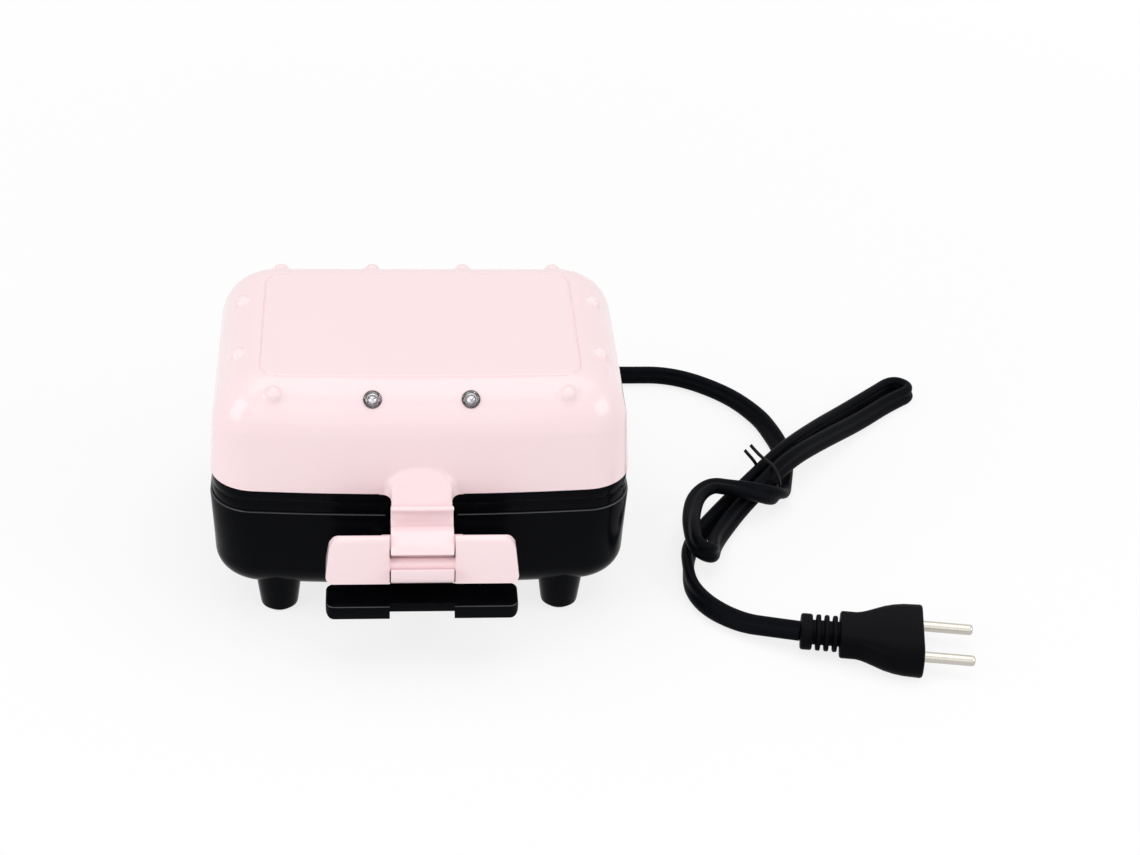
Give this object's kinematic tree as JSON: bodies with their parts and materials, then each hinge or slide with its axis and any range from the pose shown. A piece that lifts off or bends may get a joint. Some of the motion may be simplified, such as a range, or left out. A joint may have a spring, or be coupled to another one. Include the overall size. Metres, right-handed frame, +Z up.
{
  "type": "waffle maker",
  "caption": "Small countertop waffle maker: hinged lid with studded shoulder, patterned plates, flip latch at the front grips, flat mains cord in a tied hank and a round-pin plug.",
  "frame": {"origin": "on the table under the middle of the appliance, measured without the cord and plug", "axes": "+X to the right of a person at the grips, +Y to the hinge at the rear, +Z up"},
  "size_m": [0.2927, 0.2158, 0.0969],
  "materials": {
    "pink_plastic": "gloss",
    "black_gloss_plastic": "gloss",
    "black_satin_plastic": "satin",
    "clear_lens": "clear",
    "lamp_plastic": "gloss",
    "board_laminate": "matte",
    "foot_rubber": "matte",
    "screw_steel": "plain",
    "coated_plate": "non-stick coat",
    "heater_steel": "dull",
    "sheet_aluminium": "mill",
    "ceramic_body": "matte",
    "wire_sleeve": "braided sleeve",
    "cord_rubber": "satin",
    "plug_plastic": "satin",
    "pin_nickel": "bright"
  },
  "bodies": {
    "base": {"base_shell": "black_gloss_plastic", "base_frame": "black_satin_plastic", "foot_pads": "foot_rubber", "hinge_pin": "screw_steel", "lower_plate": "coated_plate", "lower_heater": "heater_steel", "lower_heater_clamp": "sheet_aluminium", "lower_clamp_screws": "screw_steel", "lower_plate_screws": "screw_steel", "base_screws": "screw_steel", "base_reflector": "sheet_aluminium", "terminal_block": "ceramic_body", "thermal_fuse": "ceramic_body", "base_wires": "wire_sleeve", "cord_gland": "cord_rubber", "cord_lead": "cord_rubber", "cord_hank": "cord_rubber", "cord_tail": "cord_rubber", "cord_tie": "cord_rubber", "plug_body": "plug_plastic", "plug_pins": "pin_nickel"},
    "lid": {"lid_shell": "pink_plastic", "lid_frame": "black_satin_plastic", "indicator_lenses": "clear_lens", "indicator_lamps": "lamp_plastic", "lamp_board": "board_laminate", "upper_plate": "coated_plate", "upper_heater": "heater_steel", "upper_heater_clamp": "sheet_aluminium", "upper_clamp_screws": "screw_steel", "upper_plate_screws": "screw_steel", "lid_screws": "screw_steel", "lid_reflector": "sheet_aluminium", "thermostat": "ceramic_body", "lid_wires": "wire_sleeve"},
    "latch": {"latch_clip": "pink_plastic"}
  },
  "joints": [
    {"name": "lid_hinge", "type": "hinge", "parent": "base", "child": "lid", "pos_m": [0, 0.0718, 0.053], "axis": [-1, 0, 0], "range_deg": [0, 100]},
    {"name": "latch_flip", "type": "hinge", "parent": "lid", "child": "latch", "pos_m": [0, -0.0692, 0.0424], "axis": [1, 0, 0], "range_deg": [0, 205]}
  ]
}
